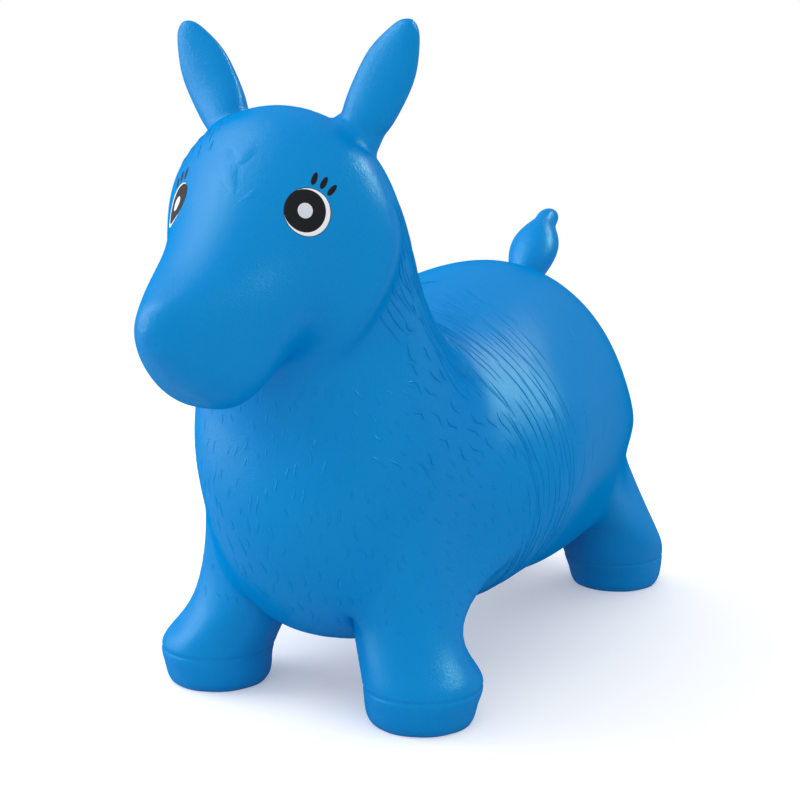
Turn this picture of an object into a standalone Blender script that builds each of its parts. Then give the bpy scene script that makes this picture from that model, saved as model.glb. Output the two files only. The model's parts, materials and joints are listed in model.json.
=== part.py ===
"""Air-filled bouncy ride-on horse, modelled as the pieces its moulded skin flexes between.

The horse faces -Y, its left side is +X, +Z is up and the origin is on the floor, under the
middle of the horse. Sizes are written in millimetres and scaled to metres by MM.
"""

from math import cos, radians, sin

import bmesh
import bpy
from mathutils import Matrix, Vector
from mathutils.bvhtree import BVHTree

MM = 0.001

# Working gaps, the distance below which points are one, and the least angle of a sharp edge
PIECE_GAP = 0.3
BALL_GAP = 0.5
SAME_POINT = 0.0001
SHARP_ANGLE = 50

# Sections of the skin from rump to nose: back (y, z), belly (y, z) and half width. A section is
# elliptical where its fullness is 2, and squarer where it is more. A section with a middle (y, z)
# is bent there
SECTIONS = {
    "rump_end": ((235, 196), (262, 84), 73),
    "hips": ((211, 241), (235, 39), 94),
    "croup": ((167, 274), (156, 28), 114),
    "loin": ((110, 275), (77, 37), 130),
    "saddle": ((47, 264), (10, 43), 139.5),
    "girth": ((6, 256), (-38, 40), 128),
    "shoulders": ((-17, 258), (-92, 39), 108),
    "breast": ((-35, 278), (-148, 72), 96),
    "neck_base": ((-53, 310), (-176, 135), 85),
    "neck": ((-64, 341), (-172, 184), 78),
    "throat": ((-83, 366), (-171, 211), 77),
    "poll": ((-110, 392), (-173, 227), 80.5),
    "crown": ((-152, 406), (-175, 239), 85),
    "brow": ((-185, 383), (-181, 245), 69),
    "cheek": ((-213, 347), (-192, 243), 54),
    "nose_bridge": ((-237, 322), (-212, 230), 46),
    "muzzle": ((-256, 308), (-233, 226), 35.5),
    "nose": ((-273, 298), (-260, 241), 24),
    "nose_end": ((-281.5, 288), (-274, 258), 13.5),
}
ROUND = 2
FULLNESS = {"nose_bridge": 2.2, "muzzle": 2.6, "nose": 2.4}
MIDDLES = {
    "throat": (-123, 294),
    "poll": (-133, 311),
    "crown": (-152, 320),
    "brow": (-175, 311),
    "cheek": (-200, 293),
}
RUMP_POLE = (260, 148)
NOSE_POLE = (-285, 273)
COLUMNS = 16
SOLVE_ROUNDS = 8

# Legs: the section they grow from, then rings of centre x, centre y, height and radius
LEGS = {
    "front": (
        "shoulders",
        ((67, -99, 60, 37), (82, -108, 31, 40.5), (83, -110, 12, 38), (83, -109, -3, 30)),
    ),
    "rear": (
        "hips",
        ((73, 225, 58, 37), (71, 240, 32, 41.5), (71, 246, 12, 38.5), (71, 245, -3, 29.5)),
    ),
}
LEG_COLUMN = 6
HOOF_HEIGHT = 26
LEG_CUT_POINT = {"front": (80, -94, 66), "rear": (78, 219, 68)}
LEG_CUT_NORMAL = {"front": (0.42, -0.20, -0.89), "rear": (0.42, 0.20, -0.89)}
LEG_REACH = 150

# Cuts across the neck: a point of the back and a point of the throat on each
NECK_CUT = ((-29, 256), (-156, 150))
HEAD_CUT = ((-80, 362), (-166, 230))

# Ears and tail: a ball seated in the skin, then rings of distance, half width, half thickness,
# bend and the share by which the front is scooped out, and last the tip's distance and bend
EAR_PIVOT = (47.5, -130, 387.5)
EAR_AXIS = (0.48, 0.01, 0.877)
EAR_BALL = 16
EAR_RINGS = (
    (8, 15, 13, 0, 0),
    (17, 17.5, 12.6, 0, 0.35),
    (33, 19, 12.2, 0, 0.75),
    (51, 18, 10.5, 0, 0.75),
    (66, 13, 8, 0, 0.5),
    (75, 8.5, 5.2, 0, 0),
)
EAR_TIP = (81, 0)
TAIL_PIVOT = (0, 203.5, 248)
TAIL_AXIS = (0, 0.62, 0.78)
TAIL_BALL = 13
TAIL_RINGS = (
    (8, 12, 11, 0, 0),
    (20, 16.5, 13, 0, 0),
    (36, 20.5, 14, 0, 0),
    (50, 18.5, 13, 0.5, 0),
    (61, 12.5, 11, 2, 0),
    (68, 9.3, 9, 4, 0),
    (75, 8.6, 8.4, 6, 0),
    (81, 5.3, 5.3, 8, 0),
)
TAIL_TIP = (83, 9)
LIMB_SIDES = 16
BALL_STEPS = (30, 60, 90)
SEAT_SIDES = 24
SEAT_STEPS = 12

# Printed eyes and lashes, laid out on a plane square to the eye's axis
EYE_POINT = (48, -191, 346)
EYE_AXIS = (0.61, -0.71, 0.35)
EYE_WHITE_RADIUS = 14.5
EYE_WHITE_SHIFT = (0.8, -1.0)
EYE_IRIS_RADIUS = 12.5
EYE_GLINT_RADIUS = 4.6
EYE_MID_RADIUS = 8.8
EYE_SIDES = 24
LASH_ANGLES = (17, 35, 53)
LASH_DISTANCE = 19.8
LASH_LENGTH = 8.4
LASH_WIDTH = 4.2
LASH_TAPER = 0.25
LASH_CORE = 0.4
LASH_SIDES = 12
PRINT_THICKNESS = 0.5
PRINT_REACH = 48

# Valve under the belly: a thick collar in the skin and a push-in plug
VALVE_Y = 55
VALVE_BOTTOM = 41.5
COLLAR_RADIUS = 13
COLLAR_HEIGHT = 18
VALVE_BORE = 5.5
POCKET_REACH = 20
PLUG_FLANGE = 9
PLUG_FLANGE_HEIGHT = 2.2
PLUG_EDGE = 1
PLUG_STEM = 4.6
PLUG_RIB = 5.1
PLUG_RIB_HEIGHTS = (4, 8)
PLUG_LENGTH = 14
PLUG_NOSE = 2
PLUG_NOSE_RADIUS = 3.1
VALVE_SIDES = 24

# Colours
VINYL_BLUE = (0.004, 0.25, 0.60)
PRINT_BLACK = (0.012, 0.013, 0.016)
PRINT_WHITE = (0.82, 0.84, 0.86)
PRINT_PALE = (0.66, 0.68, 0.72)
PLUG_WHITE = (0.80, 0.80, 0.78)

SIDES = {"left": 1, "right": -1}


def millimetres(point):
    """Return a point written in millimetres as a vector in metres."""
    return Vector(point) * MM


def clear_scene():
    """Remove every object of the open scene."""
    for old in list(bpy.data.objects):
        bpy.data.objects.remove(old, do_unlink=True)


def make_material(name, colour, roughness):
    """Return a Principled material of one colour."""
    material = bpy.data.materials.new(name)
    material.use_nodes = True
    shader = material.node_tree.nodes["Principled BSDF"]
    shader.inputs["Base Color"].default_value = (*colour, 1.0)
    shader.inputs["Roughness"].default_value = roughness
    shader.inputs["Metallic"].default_value = 0.0
    return material


def add_object(name, bm, material=None, parent=None):
    """Turn a bmesh into a linked object and free the bmesh."""
    bmesh.ops.recalc_face_normals(bm, faces=bm.faces)
    mesh = bpy.data.meshes.new(name)
    bm.to_mesh(mesh)
    bm.free()
    obj = bpy.data.objects.new(name, mesh)
    bpy.context.collection.objects.link(obj)
    if material:
        mesh.materials.append(material)
        mesh.shade_smooth()
        mesh.set_sharp_from_angle(angle=radians(SHARP_ANGLE))
    obj.parent = parent
    return obj


def add_empty(name, parent=None):
    """Add an empty that a moving body's pieces hang from."""
    empty = bpy.data.objects.new(name, None)
    bpy.context.collection.objects.link(empty)
    empty.parent = parent
    return empty


def evaluated_mesh(obj):
    """Return a new mesh of the object with its modifiers applied."""
    bpy.context.view_layer.update()
    depsgraph = bpy.context.evaluated_depsgraph_get()
    return bpy.data.meshes.new_from_object(obj.evaluated_get(depsgraph))


def loop_edges(verts):
    """Return the edges that join the vertices of one ring."""
    ring = set(verts)
    return list({edge for vert in verts for edge in vert.link_edges if edge.other_vert(vert) in ring})


def bridge(bm, first, second):
    """Join two rings of vertices by a band of faces."""
    bmesh.ops.bridge_loops(bm, edges=loop_edges(first) + loop_edges(second))


def close_to_point(bm, ring, point):
    """Close a ring with triangles that meet at one point."""
    out = bmesh.ops.extrude_edge_only(bm, edges=loop_edges(ring))["geom"]
    verts = [item for item in out if isinstance(item, bmesh.types.BMVert)]
    bmesh.ops.pointmerge(bm, verts=verts, merge_co=point)


def section_ring(bm, section, fullness, middle):
    """Add one rounded section of the body, which runs from the back round the left side."""
    (back_y, back_z), (belly_y, belly_z), half_width = section
    back = millimetres((0, back_y, back_z))
    belly = millimetres((0, belly_y, belly_z))
    middle = millimetres((0, *middle)) if middle else (back + belly) / 2
    verts = bmesh.ops.create_circle(bm, segments=COLUMNS, radius=1)["verts"]
    for vert in verts:
        size = (abs(vert.co.x) ** fullness + abs(vert.co.y) ** fullness) ** (1 / fullness)
        across, up, _ = vert.co / size
        way = back - middle if up > 0 else middle - belly
        vert.co = middle + way * up - millimetres((across * half_width, 0, 0))
    return verts


def leg_hole(rings, section, side):
    """Return the body's vertex at a leg's root, and the way each vertex around it lies from there."""
    order = list(rings.values())
    row = list(rings).index(section)
    column = LEG_COLUMN if side == "left" else COLUMNS - LEG_COLUMN
    flip = SIDES[side]
    ways = {}
    for rearward in (1, 0, -1):
        for outward in (1, 0, -1):
            vert = order[row - rearward][column - outward * flip]
            ways[vert] = Vector((outward * flip, rearward, 0)).normalized()
    return order[row][column], ways


def grow_leg(bm, root, ways, leg_rings, side):
    """Open the skin at a leg's root and draw the rim of the hole out into a leg."""
    del ways[root]
    bmesh.ops.delete(bm, geom=[root], context="VERTS")
    for x, y, z, radius in leg_rings:
        centre = millimetres((x * SIDES[side], y, z))
        out = bmesh.ops.extrude_edge_only(bm, edges=loop_edges(ways))["geom"]
        drawn = {}
        for vert in out:
            if isinstance(vert, bmesh.types.BMVert):
                ends = (edge.other_vert(vert) for edge in vert.link_edges)
                way = next(ways[end] for end in ends if end in ways)
                drawn[vert] = way
                vert.co = centre + way * radius * MM
        ways = drawn
    bmesh.ops.contextual_create(bm, geom=loop_edges(ways))


def make_cage():
    """Return the control cage of the whole skin with its four legs."""
    bm = bmesh.new()
    rings = {}
    for name, section in SECTIONS.items():
        rings[name] = section_ring(bm, section, FULLNESS.get(name, ROUND), MIDDLES.get(name))
    order = list(rings.values())
    for first, second in zip(order, order[1:]):
        bridge(bm, first, second)
    close_to_point(bm, order[0], millimetres((0, *RUMP_POLE)))
    close_to_point(bm, order[-1], millimetres((0, *NOSE_POLE)))
    for section, leg_rings in LEGS.values():
        for side in SIDES:
            root, ways = leg_hole(rings, section, side)
            grow_leg(bm, root, ways, leg_rings, side)
    return add_object("skin_cage", bm)


def make_skin():
    """Return the smooth skin: the cage is moved until its surface passes through the sections."""
    cage = make_cage()
    smooth = cage.modifiers.new("Smooth", "SUBSURF")
    smooth.levels = 1
    smooth.render_levels = 1
    targets = [vert.co.copy() for vert in cage.data.vertices]
    for _ in range(SOLVE_ROUNDS):
        surface = evaluated_mesh(cage)
        for vert, target, now in zip(cage.data.vertices, targets, surface.vertices):
            vert.co += target - now.co
        bpy.data.meshes.remove(surface)
    skin = bmesh.new()
    surface = evaluated_mesh(cage)
    skin.from_mesh(surface)
    bpy.data.objects.remove(cage, do_unlink=True)
    cut_away(skin, (0, 0, 0), (0, 0, -1))
    return skin


def cut_away(bm, point, normal, faces=None):
    """Cut the closed mesh by a plane, drop what lies beyond it and close the hole."""
    faces = list(bm.faces) if faces is None else faces
    geom = set(faces)
    for face in faces:
        geom.update(face.edges)
        geom.update(face.verts)
    bmesh.ops.bisect_plane(
        bm, geom=list(geom), dist=SAME_POINT * MM, plane_co=point, plane_no=Vector(normal), clear_outer=True
    )
    rim = [edge for edge in bm.edges if edge.is_boundary]
    caps = bmesh.ops.holes_fill(bm, edges=rim)["faces"]
    bmesh.ops.triangulate(bm, faces=caps)


def keep_nearest_part(bm, point):
    """Delete every loose part except the one with the vertex nearest to a point."""
    start = min(bm.verts, key=lambda vert: (vert.co - point).length_squared)
    found = {start}
    queue = [start]
    while queue:
        vert = queue.pop()
        for edge in vert.link_edges:
            other = edge.other_vert(vert)
            if other not in found:
                found.add(other)
                queue.append(other)
    bmesh.ops.delete(bm, geom=[vert for vert in bm.verts if vert not in found], context="VERTS")


def neck_plane(cut):
    """Return a point and the headward normal of a cut across the neck."""
    back = millimetres((0, *cut[0]))
    throat = millimetres((0, *cut[1]))
    normal = (throat - back).cross(Vector((1, 0, 0))).normalized()
    return back, normal


def leg_plane(leg, side):
    """Return a point and the footward normal of the cut where a leg leaves the trunk."""
    flip = SIDES[side]
    x, y, z = LEG_CUT_POINT[leg]
    normal_x, normal_y, normal_z = LEG_CUT_NORMAL[leg]
    return millimetres((x * flip, y, z)), Vector((normal_x * flip, normal_y, normal_z)).normalized()


def leg_faces(bm, leg, side):
    """Return the faces of the quarter of the skin that one leg stands in."""
    middle_y = (LEG_CUT_POINT["front"][1] + LEG_CUT_POINT["rear"][1]) / 2 * MM
    ahead = -1 if leg == "front" else 1
    chosen = []
    for face in bm.faces:
        centre = face.calc_center_median()
        low = centre.z < LEG_REACH * MM
        if low and centre.x * SIDES[side] > 0 and (centre.y - middle_y) * ahead > 0:
            chosen.append(face)
    return chosen


def boolean(obj, cutter, operation):
    """Apply one exact Boolean to an object and remove the cutter."""
    modifier = obj.modifiers.new("Cut", "BOOLEAN")
    modifier.operation = operation
    modifier.object = cutter
    modifier.solver = "EXACT"
    mesh = evaluated_mesh(obj)
    obj.modifiers.remove(modifier)
    old = obj.data
    obj.data = mesh
    mesh.name = old.name
    bpy.data.meshes.remove(old)
    bpy.data.objects.remove(cutter, do_unlink=True)


def ball_cutter(centre, radius):
    """Add a ball that cuts a seat."""
    bm = bmesh.new()
    place = Matrix.Translation(millimetres(centre))
    bmesh.ops.create_uvsphere(
        bm, u_segments=SEAT_SIDES, v_segments=SEAT_STEPS, radius=radius * MM, matrix=place
    )
    return add_object("ball_cutter", bm)


def rod_cutter(bottom, radius, height, sides):
    """Add an upright rod that cuts a round pocket."""
    bm = bmesh.new()
    place = Matrix.Translation(millimetres(bottom) + Vector((0, 0, height * MM / 2)))
    bmesh.ops.create_cone(
        bm, cap_ends=True, segments=sides, radius1=radius * MM, radius2=radius * MM, depth=height * MM,
        matrix=place,
    )
    return add_object("rod_cutter", bm)


def build_skin_pieces(skin, vinyl, feet, body):
    """Cut the skin into the trunk, neck, head, legs and hooves."""
    half_gap = PIECE_GAP * MM / 2
    trunk = skin.copy()
    for leg in LEGS:
        for side in SIDES:
            point, normal = leg_plane(leg, side)
            cut_away(trunk, point - normal * half_gap, normal, leg_faces(trunk, leg, side))
            build_leg(skin, leg, side, vinyl, feet, body)
    neck_point, neck_normal = neck_plane(NECK_CUT)
    head_point, head_normal = neck_plane(HEAD_CUT)
    neck = skin.copy()
    cut_away(neck, neck_point + neck_normal * half_gap, -neck_normal)
    head = neck.copy()
    cut_away(neck, head_point - head_normal * half_gap, head_normal)
    cut_away(head, head_point + head_normal * half_gap, -head_normal)
    cut_away(trunk, neck_point - neck_normal * half_gap, neck_normal)
    add_object("neck", neck, vinyl, body)
    return add_object("trunk", trunk, vinyl, body), add_object("head", head, vinyl, body)


def build_leg(skin, leg, side, vinyl, feet, body):
    """Cut one leg out of the skin and part it from its hoof."""
    half_gap = PIECE_GAP * MM / 2
    point, normal = leg_plane(leg, side)
    whole = skin.copy()
    cut_away(whole, point + normal * half_gap, -normal)
    foot_x, foot_y, _, _ = LEGS[leg][1][-1]
    keep_nearest_part(whole, millimetres((foot_x * SIDES[side], foot_y, 0)))
    hoof = whole.copy()
    cut_away(whole, Vector((0, 0, HOOF_HEIGHT * MM + half_gap)), (0, 0, -1))
    cut_away(hoof, Vector((0, 0, HOOF_HEIGHT * MM - half_gap)), (0, 0, 1))
    add_object(f"leg_{leg}_{side}", whole, vinyl, body)
    add_object(f"hoof_{leg}_{side}", hoof, vinyl, feet)


def limb_frame(pivot, axis, across):
    """Return the frame of an ear or the tail: X across it, Y through it and Z along it."""
    along = Vector(axis).normalized()
    through = along.cross(Vector(across)).normalized()
    width = through.cross(along)
    frame = Matrix((width, through, along)).transposed().to_4x4()
    frame.translation = millimetres(pivot)
    return frame


def limb_ring(bm, distance, half_width, half_thickness, bend, scoop):
    """Add one section of an ear or the tail, with its front side scooped out towards the middle."""
    place = Matrix.Translation(millimetres((0, bend, distance)))
    stretch = Matrix.Diagonal((half_width * MM, half_thickness * MM, 1, 1))
    ring = bmesh.ops.create_circle(bm, segments=LIMB_SIDES, radius=1, matrix=place @ stretch)["verts"]
    for vert in ring:
        through = vert.co.y - bend * MM
        if through < 0:
            across = vert.co.x / (half_width * MM)
            vert.co.y -= through * scoop * (1 - across**2)
    return ring


def build_limb(name, ball, rings, tip, material):
    """Loft an ear or the tail from a ball root, along its own Z axis."""
    bm = bmesh.new()
    stations = []
    for step in BALL_STEPS:
        radius = ball * sin(radians(step))
        stations.append((-ball * cos(radians(step)), radius, radius, 0, 0))
    stations.extend(rings)
    last = None
    for station in stations:
        ring = limb_ring(bm, *station)
        if last:
            bridge(bm, last, ring)
        else:
            close_to_point(bm, ring, millimetres((0, 0, -ball)))
        last = ring
    tip_distance, tip_bend = tip
    close_to_point(bm, last, millimetres((0, tip_bend, tip_distance)))
    return add_object(name, bm, material)


def build_ears(head, vinyl, body):
    """Build both ears and cut their seats into the head."""
    for side, flip in SIDES.items():
        pivot = (EAR_PIVOT[0] * flip, EAR_PIVOT[1], EAR_PIVOT[2])
        axis = (EAR_AXIS[0] * flip, EAR_AXIS[1], EAR_AXIS[2])
        ear = build_limb(f"ear_{side}", EAR_BALL, EAR_RINGS, EAR_TIP, vinyl)
        ear.parent = body
        ear.matrix_world = limb_frame(pivot, axis, (1, 0, 0))
        boolean(head, ball_cutter(pivot, EAR_BALL + BALL_GAP), "DIFFERENCE")


def build_tail(trunk, vinyl, body):
    """Build the tail and cut its seat into the rump."""
    tail = build_limb("tail", TAIL_BALL, TAIL_RINGS, TAIL_TIP, vinyl)
    tail.parent = body
    tail.matrix_world = limb_frame(TAIL_PIVOT, TAIL_AXIS, (1, 0, 0))
    boolean(trunk, ball_cutter(TAIL_PIVOT, TAIL_BALL + BALL_GAP), "DIFFERENCE")


def eye_frame(side):
    """Return the frame of an eye print: X towards the ear side, Y up and Z out of the head."""
    flip = SIDES[side]
    out = Vector((EYE_AXIS[0] * flip, EYE_AXIS[1], EYE_AXIS[2])).normalized()
    rearward = Vector((0, 0, 1)).cross(out).normalized() * flip
    up = out.cross(rearward).normalized() * flip
    frame = Matrix((rearward, up, out)).transposed().to_4x4()
    frame.translation = millimetres((EYE_POINT[0] * flip, EYE_POINT[1], EYE_POINT[2]))
    return frame


def circle_outline(radius, centre=(0, 0)):
    """Return a round outline in the eye's plane."""
    turns = [radians(360 * step / EYE_SIDES) for step in range(EYE_SIDES)]
    return [Vector((centre[0] + radius * cos(turn), centre[1] + radius * sin(turn))) for turn in turns]


def lash_outline(angle, size):
    """Return one lash: a rounded drop that points away from the eye, shrunk to its middle by size."""
    turn = radians(angle)
    along = Vector((sin(turn), cos(turn)))
    across = Vector((cos(turn), -sin(turn)))
    points = []
    for step in range(LASH_SIDES):
        phase = radians(360 * step / LASH_SIDES)
        half_width = LASH_WIDTH / 2 * (1 - LASH_TAPER * sin(phase))
        place = along * (LASH_DISTANCE + size * LASH_LENGTH / 2 * sin(phase))
        points.append(place + across * (size * half_width * cos(phase)))
    return points


def laid_loop(bm, skin, frame, outline, lift):
    """Lay an outline of the eye's plane on the head's skin, lifted off it, as a loop of edges."""
    out = frame.col[2].xyz
    verts = []
    for x, y in outline:
        start = frame @ millimetres((x, y, PRINT_REACH))
        spot = skin.ray_cast(start, -out)[0]
        verts.append(bm.verts.new(spot + out * lift * MM))
    for first, second in zip(verts, verts[1:] + verts[:1]):
        bm.edges.new((first, second))
    return verts


def build_print(name, skin, frame, outlines, filled, material, body):
    """Lay one printed patch on the head as a thin closed film.

    The outlines run from the rim inwards. A filled patch is closed in the middle, any other one
    has the last outline as its hole.
    """
    bm = bmesh.new()
    layers = []
    for lift in (PIECE_GAP, PIECE_GAP + PRINT_THICKNESS):
        loops = [laid_loop(bm, skin, frame, outline, lift) for outline in outlines]
        for first, second in zip(loops, loops[1:]):
            bridge(bm, first, second)
        if filled:
            bmesh.ops.contextual_create(bm, geom=loop_edges(loops[-1]))
        layers.append(loops)
    under, over = layers
    bridge(bm, under[0], over[0])
    if not filled:
        bridge(bm, under[-1], over[-1])
    return add_object(name, bm, material, body)


def build_eyes(head, materials, body):
    """Print both eyes and their lashes on the head."""
    bm = bmesh.new()
    bm.from_mesh(head.data)
    skin = BVHTree.FromBMesh(bm)
    bm.free()
    white_rim = circle_outline(EYE_WHITE_RADIUS, EYE_WHITE_SHIFT)
    white_hole = circle_outline(EYE_IRIS_RADIUS + PIECE_GAP)
    iris_radii = (EYE_IRIS_RADIUS, EYE_MID_RADIUS, EYE_GLINT_RADIUS + PIECE_GAP)
    glint_radii = (EYE_GLINT_RADIUS, EYE_GLINT_RADIUS / 2)
    patches = {
        "eye_white": ([white_rim, white_hole], "white"),
        "eye_iris": ([circle_outline(radius) for radius in iris_radii], "black"),
        "eye_glint": ([circle_outline(radius) for radius in glint_radii], "pale"),
    }
    for number, angle in enumerate(LASH_ANGLES, start=1):
        patches[f"lash_{number}"] = ([lash_outline(angle, 1), lash_outline(angle, LASH_CORE)], "black")
    for side in SIDES:
        for name, (outlines, ink) in patches.items():
            filled = name not in ("eye_white", "eye_iris")
            build_print(f"{name}_{side}", skin, eye_frame(side), outlines, filled, materials[ink], body)


def turned(name, profile, material, parent):
    """Turn a closed profile of radius and height around the valve's axis."""
    bm = bmesh.new()
    verts = [bm.verts.new((radius * MM, 0, height * MM)) for radius, height in profile]
    edges = [bm.edges.new(pair) for pair in zip(verts, verts[1:])]
    if profile[0][0] > 0:
        edges.append(bm.edges.new((verts[-1], verts[0])))
    bmesh.ops.spin(
        bm, geom=verts + edges, cent=(0, 0, 0), axis=(0, 0, 1), angle=radians(360), steps=VALVE_SIDES,
        use_merge=True,
    )
    bmesh.ops.remove_doubles(bm, verts=bm.verts, dist=SAME_POINT * MM)
    bmesh.ops.dissolve_degenerate(bm, edges=bm.edges, dist=SAME_POINT * MM)
    obj = add_object(name, bm, material, parent)
    obj.location = millimetres((0, VALVE_Y, VALVE_BOTTOM))
    return obj


def plug_profile():
    """Return the plug's outline from its flange up to its nose: a stem with two holding ribs."""
    face = -PIECE_GAP
    bottom = face - PLUG_FLANGE_HEIGHT
    profile = [(0, bottom), (PLUG_FLANGE - PLUG_EDGE, bottom), (PLUG_FLANGE, bottom + PLUG_EDGE)]
    profile += [(PLUG_FLANGE, face), (PLUG_STEM, face)]
    for rib in PLUG_RIB_HEIGHTS:
        profile += [(PLUG_STEM, rib - 1), (PLUG_RIB, rib), (PLUG_RIB, rib + 1), (PLUG_STEM, rib + 2)]
    profile += [(PLUG_STEM, PLUG_LENGTH - PLUG_NOSE), (PLUG_NOSE_RADIUS, PLUG_LENGTH), (0, PLUG_LENGTH)]
    return profile


def build_valve(trunk, vinyl, plug_white, body):
    """Build the collar in the belly and the plug that closes it."""
    below = (0, VALVE_Y, VALVE_BOTTOM - POCKET_REACH)
    depth = POCKET_REACH + COLLAR_HEIGHT + PIECE_GAP
    boolean(trunk, rod_cutter(below, COLLAR_RADIUS + PIECE_GAP, depth, VALVE_SIDES), "DIFFERENCE")
    collar = (
        (VALVE_BORE, 0), (COLLAR_RADIUS, 0), (COLLAR_RADIUS, COLLAR_HEIGHT), (VALVE_BORE, COLLAR_HEIGHT)
    )
    turned("valve_collar", collar, vinyl, body)
    turned("valve_plug", plug_profile(), plug_white, body)


def main():
    """Build every piece of the horse."""
    clear_scene()
    vinyl = make_material("blue_vinyl", VINYL_BLUE, 0.45)
    prints = {
        "black": make_material("black_print", PRINT_BLACK, 0.35),
        "white": make_material("white_print", PRINT_WHITE, 0.40),
        "pale": make_material("pale_print", PRINT_PALE, 0.40),
    }
    plug_white = make_material("white_plug", PLUG_WHITE, 0.40)
    feet = add_empty("feet_body")
    body = add_empty("trunk_body", feet)
    skin = make_skin()
    trunk, head = build_skin_pieces(skin, vinyl, feet, body)
    skin.free()
    build_eyes(head, prints, body)
    build_ears(head, vinyl, body)
    build_tail(trunk, vinyl, body)
    build_valve(trunk, vinyl, plug_white, body)


main()
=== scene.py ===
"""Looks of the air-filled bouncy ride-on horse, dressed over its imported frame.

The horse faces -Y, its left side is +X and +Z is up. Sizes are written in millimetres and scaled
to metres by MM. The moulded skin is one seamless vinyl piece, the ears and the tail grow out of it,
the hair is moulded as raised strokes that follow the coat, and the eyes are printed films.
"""

from __future__ import annotations

import json
import logging
import random
from dataclasses import dataclass, field
from enum import Enum, auto
from math import cos, floor, pi, radians, sin, sqrt
from typing import Iterator

import bmesh
import bpy
from bmesh.types import BMEdge, BMesh, BMVert
from mathutils import Matrix, Quaternion, Vector
from mathutils.bvhtree import BVHTree

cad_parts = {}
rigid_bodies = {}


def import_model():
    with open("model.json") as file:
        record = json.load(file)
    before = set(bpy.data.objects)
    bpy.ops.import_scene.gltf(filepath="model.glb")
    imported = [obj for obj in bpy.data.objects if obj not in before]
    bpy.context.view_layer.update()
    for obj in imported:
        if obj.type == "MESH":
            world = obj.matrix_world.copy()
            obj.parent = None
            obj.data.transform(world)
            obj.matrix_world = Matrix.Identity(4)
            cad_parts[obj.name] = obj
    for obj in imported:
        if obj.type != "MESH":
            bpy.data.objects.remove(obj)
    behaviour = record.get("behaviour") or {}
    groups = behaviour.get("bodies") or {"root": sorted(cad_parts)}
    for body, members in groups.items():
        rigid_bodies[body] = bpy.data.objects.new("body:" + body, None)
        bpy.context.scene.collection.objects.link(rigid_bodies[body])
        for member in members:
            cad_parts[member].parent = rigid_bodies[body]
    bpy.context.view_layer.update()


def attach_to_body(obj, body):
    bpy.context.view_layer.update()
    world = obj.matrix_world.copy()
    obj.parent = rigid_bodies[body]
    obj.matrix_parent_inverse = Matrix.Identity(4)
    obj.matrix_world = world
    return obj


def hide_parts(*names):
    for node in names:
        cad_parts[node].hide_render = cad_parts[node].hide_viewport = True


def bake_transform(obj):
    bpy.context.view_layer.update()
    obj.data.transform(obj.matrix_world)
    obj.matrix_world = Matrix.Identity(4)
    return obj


MM = 0.001
SAME_POINT = 1e-6
UP = Vector((0, 0, 1))
EYE_POINT = (47.9, -192, 345.2)
VALVE_Y = 55

Pair = tuple[float, float]
Point = tuple[float, float, float]
Colour = tuple[float, float, float]
Piece = bpy.types.Object
Socket = bpy.types.NodeSocket

log = logging.getLogger("ride_on_horse")


class Side(Enum):
    """A side of the horse and the sign of its X coordinates."""

    LEFT = 1
    RIGHT = -1

    @property
    def word(self) -> str:
        """Return the side's name as the nodes spell it."""
        return self.name.lower()


def millimetres(*values: float) -> Vector:
    """Return a point written in millimetres as a vector in metres."""
    return Vector(values) * MM


def smoothstep(low: float, high: float, value: float) -> float:
    """Return 0 below low, 1 above high and a soft step between them."""
    share = min(max((value - low) / (high - low), 0.0), 1.0)
    return share * share * (3 - 2 * share)


def ring_edges(verts: list[BMVert]) -> list[BMEdge]:
    """Return the edges that join the vertices of one ring.

    Args:
        verts: The ring's vertices.

    Returns:
        The edges, in an order that follows the vertices.
    """
    ring = set(verts)
    joined = (edge for vert in verts for edge in vert.link_edges if edge.other_vert(vert) in ring)
    return list(dict.fromkeys(joined))


def bridge(bm: BMesh, first: list[BMVert], second: list[BMVert]) -> None:
    """Join two rings of vertices by a band of faces."""
    bmesh.ops.bridge_loops(bm, edges=ring_edges(first) + ring_edges(second))


def loft(bm: BMesh, rings: list[list[BMVert]]) -> None:
    """Join a row of rings by bands of faces."""
    for first, second in zip(rings, rings[1:]):
        bridge(bm, first, second)


def draw_out(bm: BMesh, ring: list[BMVert]) -> list[BMVert]:
    """Extrude a ring's edges and return the new ring, which still lies on the old one."""
    out = bmesh.ops.extrude_edge_only(bm, edges=ring_edges(ring))["geom"]
    return [item for item in out if isinstance(item, BMVert)]


def cap(bm: BMesh, ring: list[BMVert]) -> None:
    """Close a ring with one face."""
    bmesh.ops.contextual_create(bm, geom=ring_edges(ring))


def close_to_point(bm: BMesh, ring: list[BMVert], point: Vector) -> None:
    """Close a ring with triangles that meet at one point."""
    bmesh.ops.pointmerge(bm, verts=draw_out(bm, ring), merge_co=point)


def settled(bm: BMesh) -> BMesh:
    """Rebuild a mesh in order of place, because extruding leaves its elements in another order each run.

    Args:
        bm: The mesh to rebuild, which is freed.

    Returns:
        The same form, with vertices, edges and faces in an order that depends on their places alone.
    """
    bmesh.ops.recalc_face_normals(bm, faces=bm.faces)
    verts = sorted(bm.verts, key=lambda vert: vert.co[:])
    ranks = {vert: rank for rank, vert in enumerate(verts)}
    loops = []
    for face in bm.faces:
        loop = [ranks[vert] for vert in face.verts]
        first = loop.index(min(loop))
        loops.append(loop[first:] + loop[:first])
    copy = bmesh.new()
    placed = [copy.verts.new(vert.co) for vert in verts]
    for loop in sorted(loops):
        copy.faces.new([placed[rank] for rank in loop])
    bm.free()
    return copy


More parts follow.
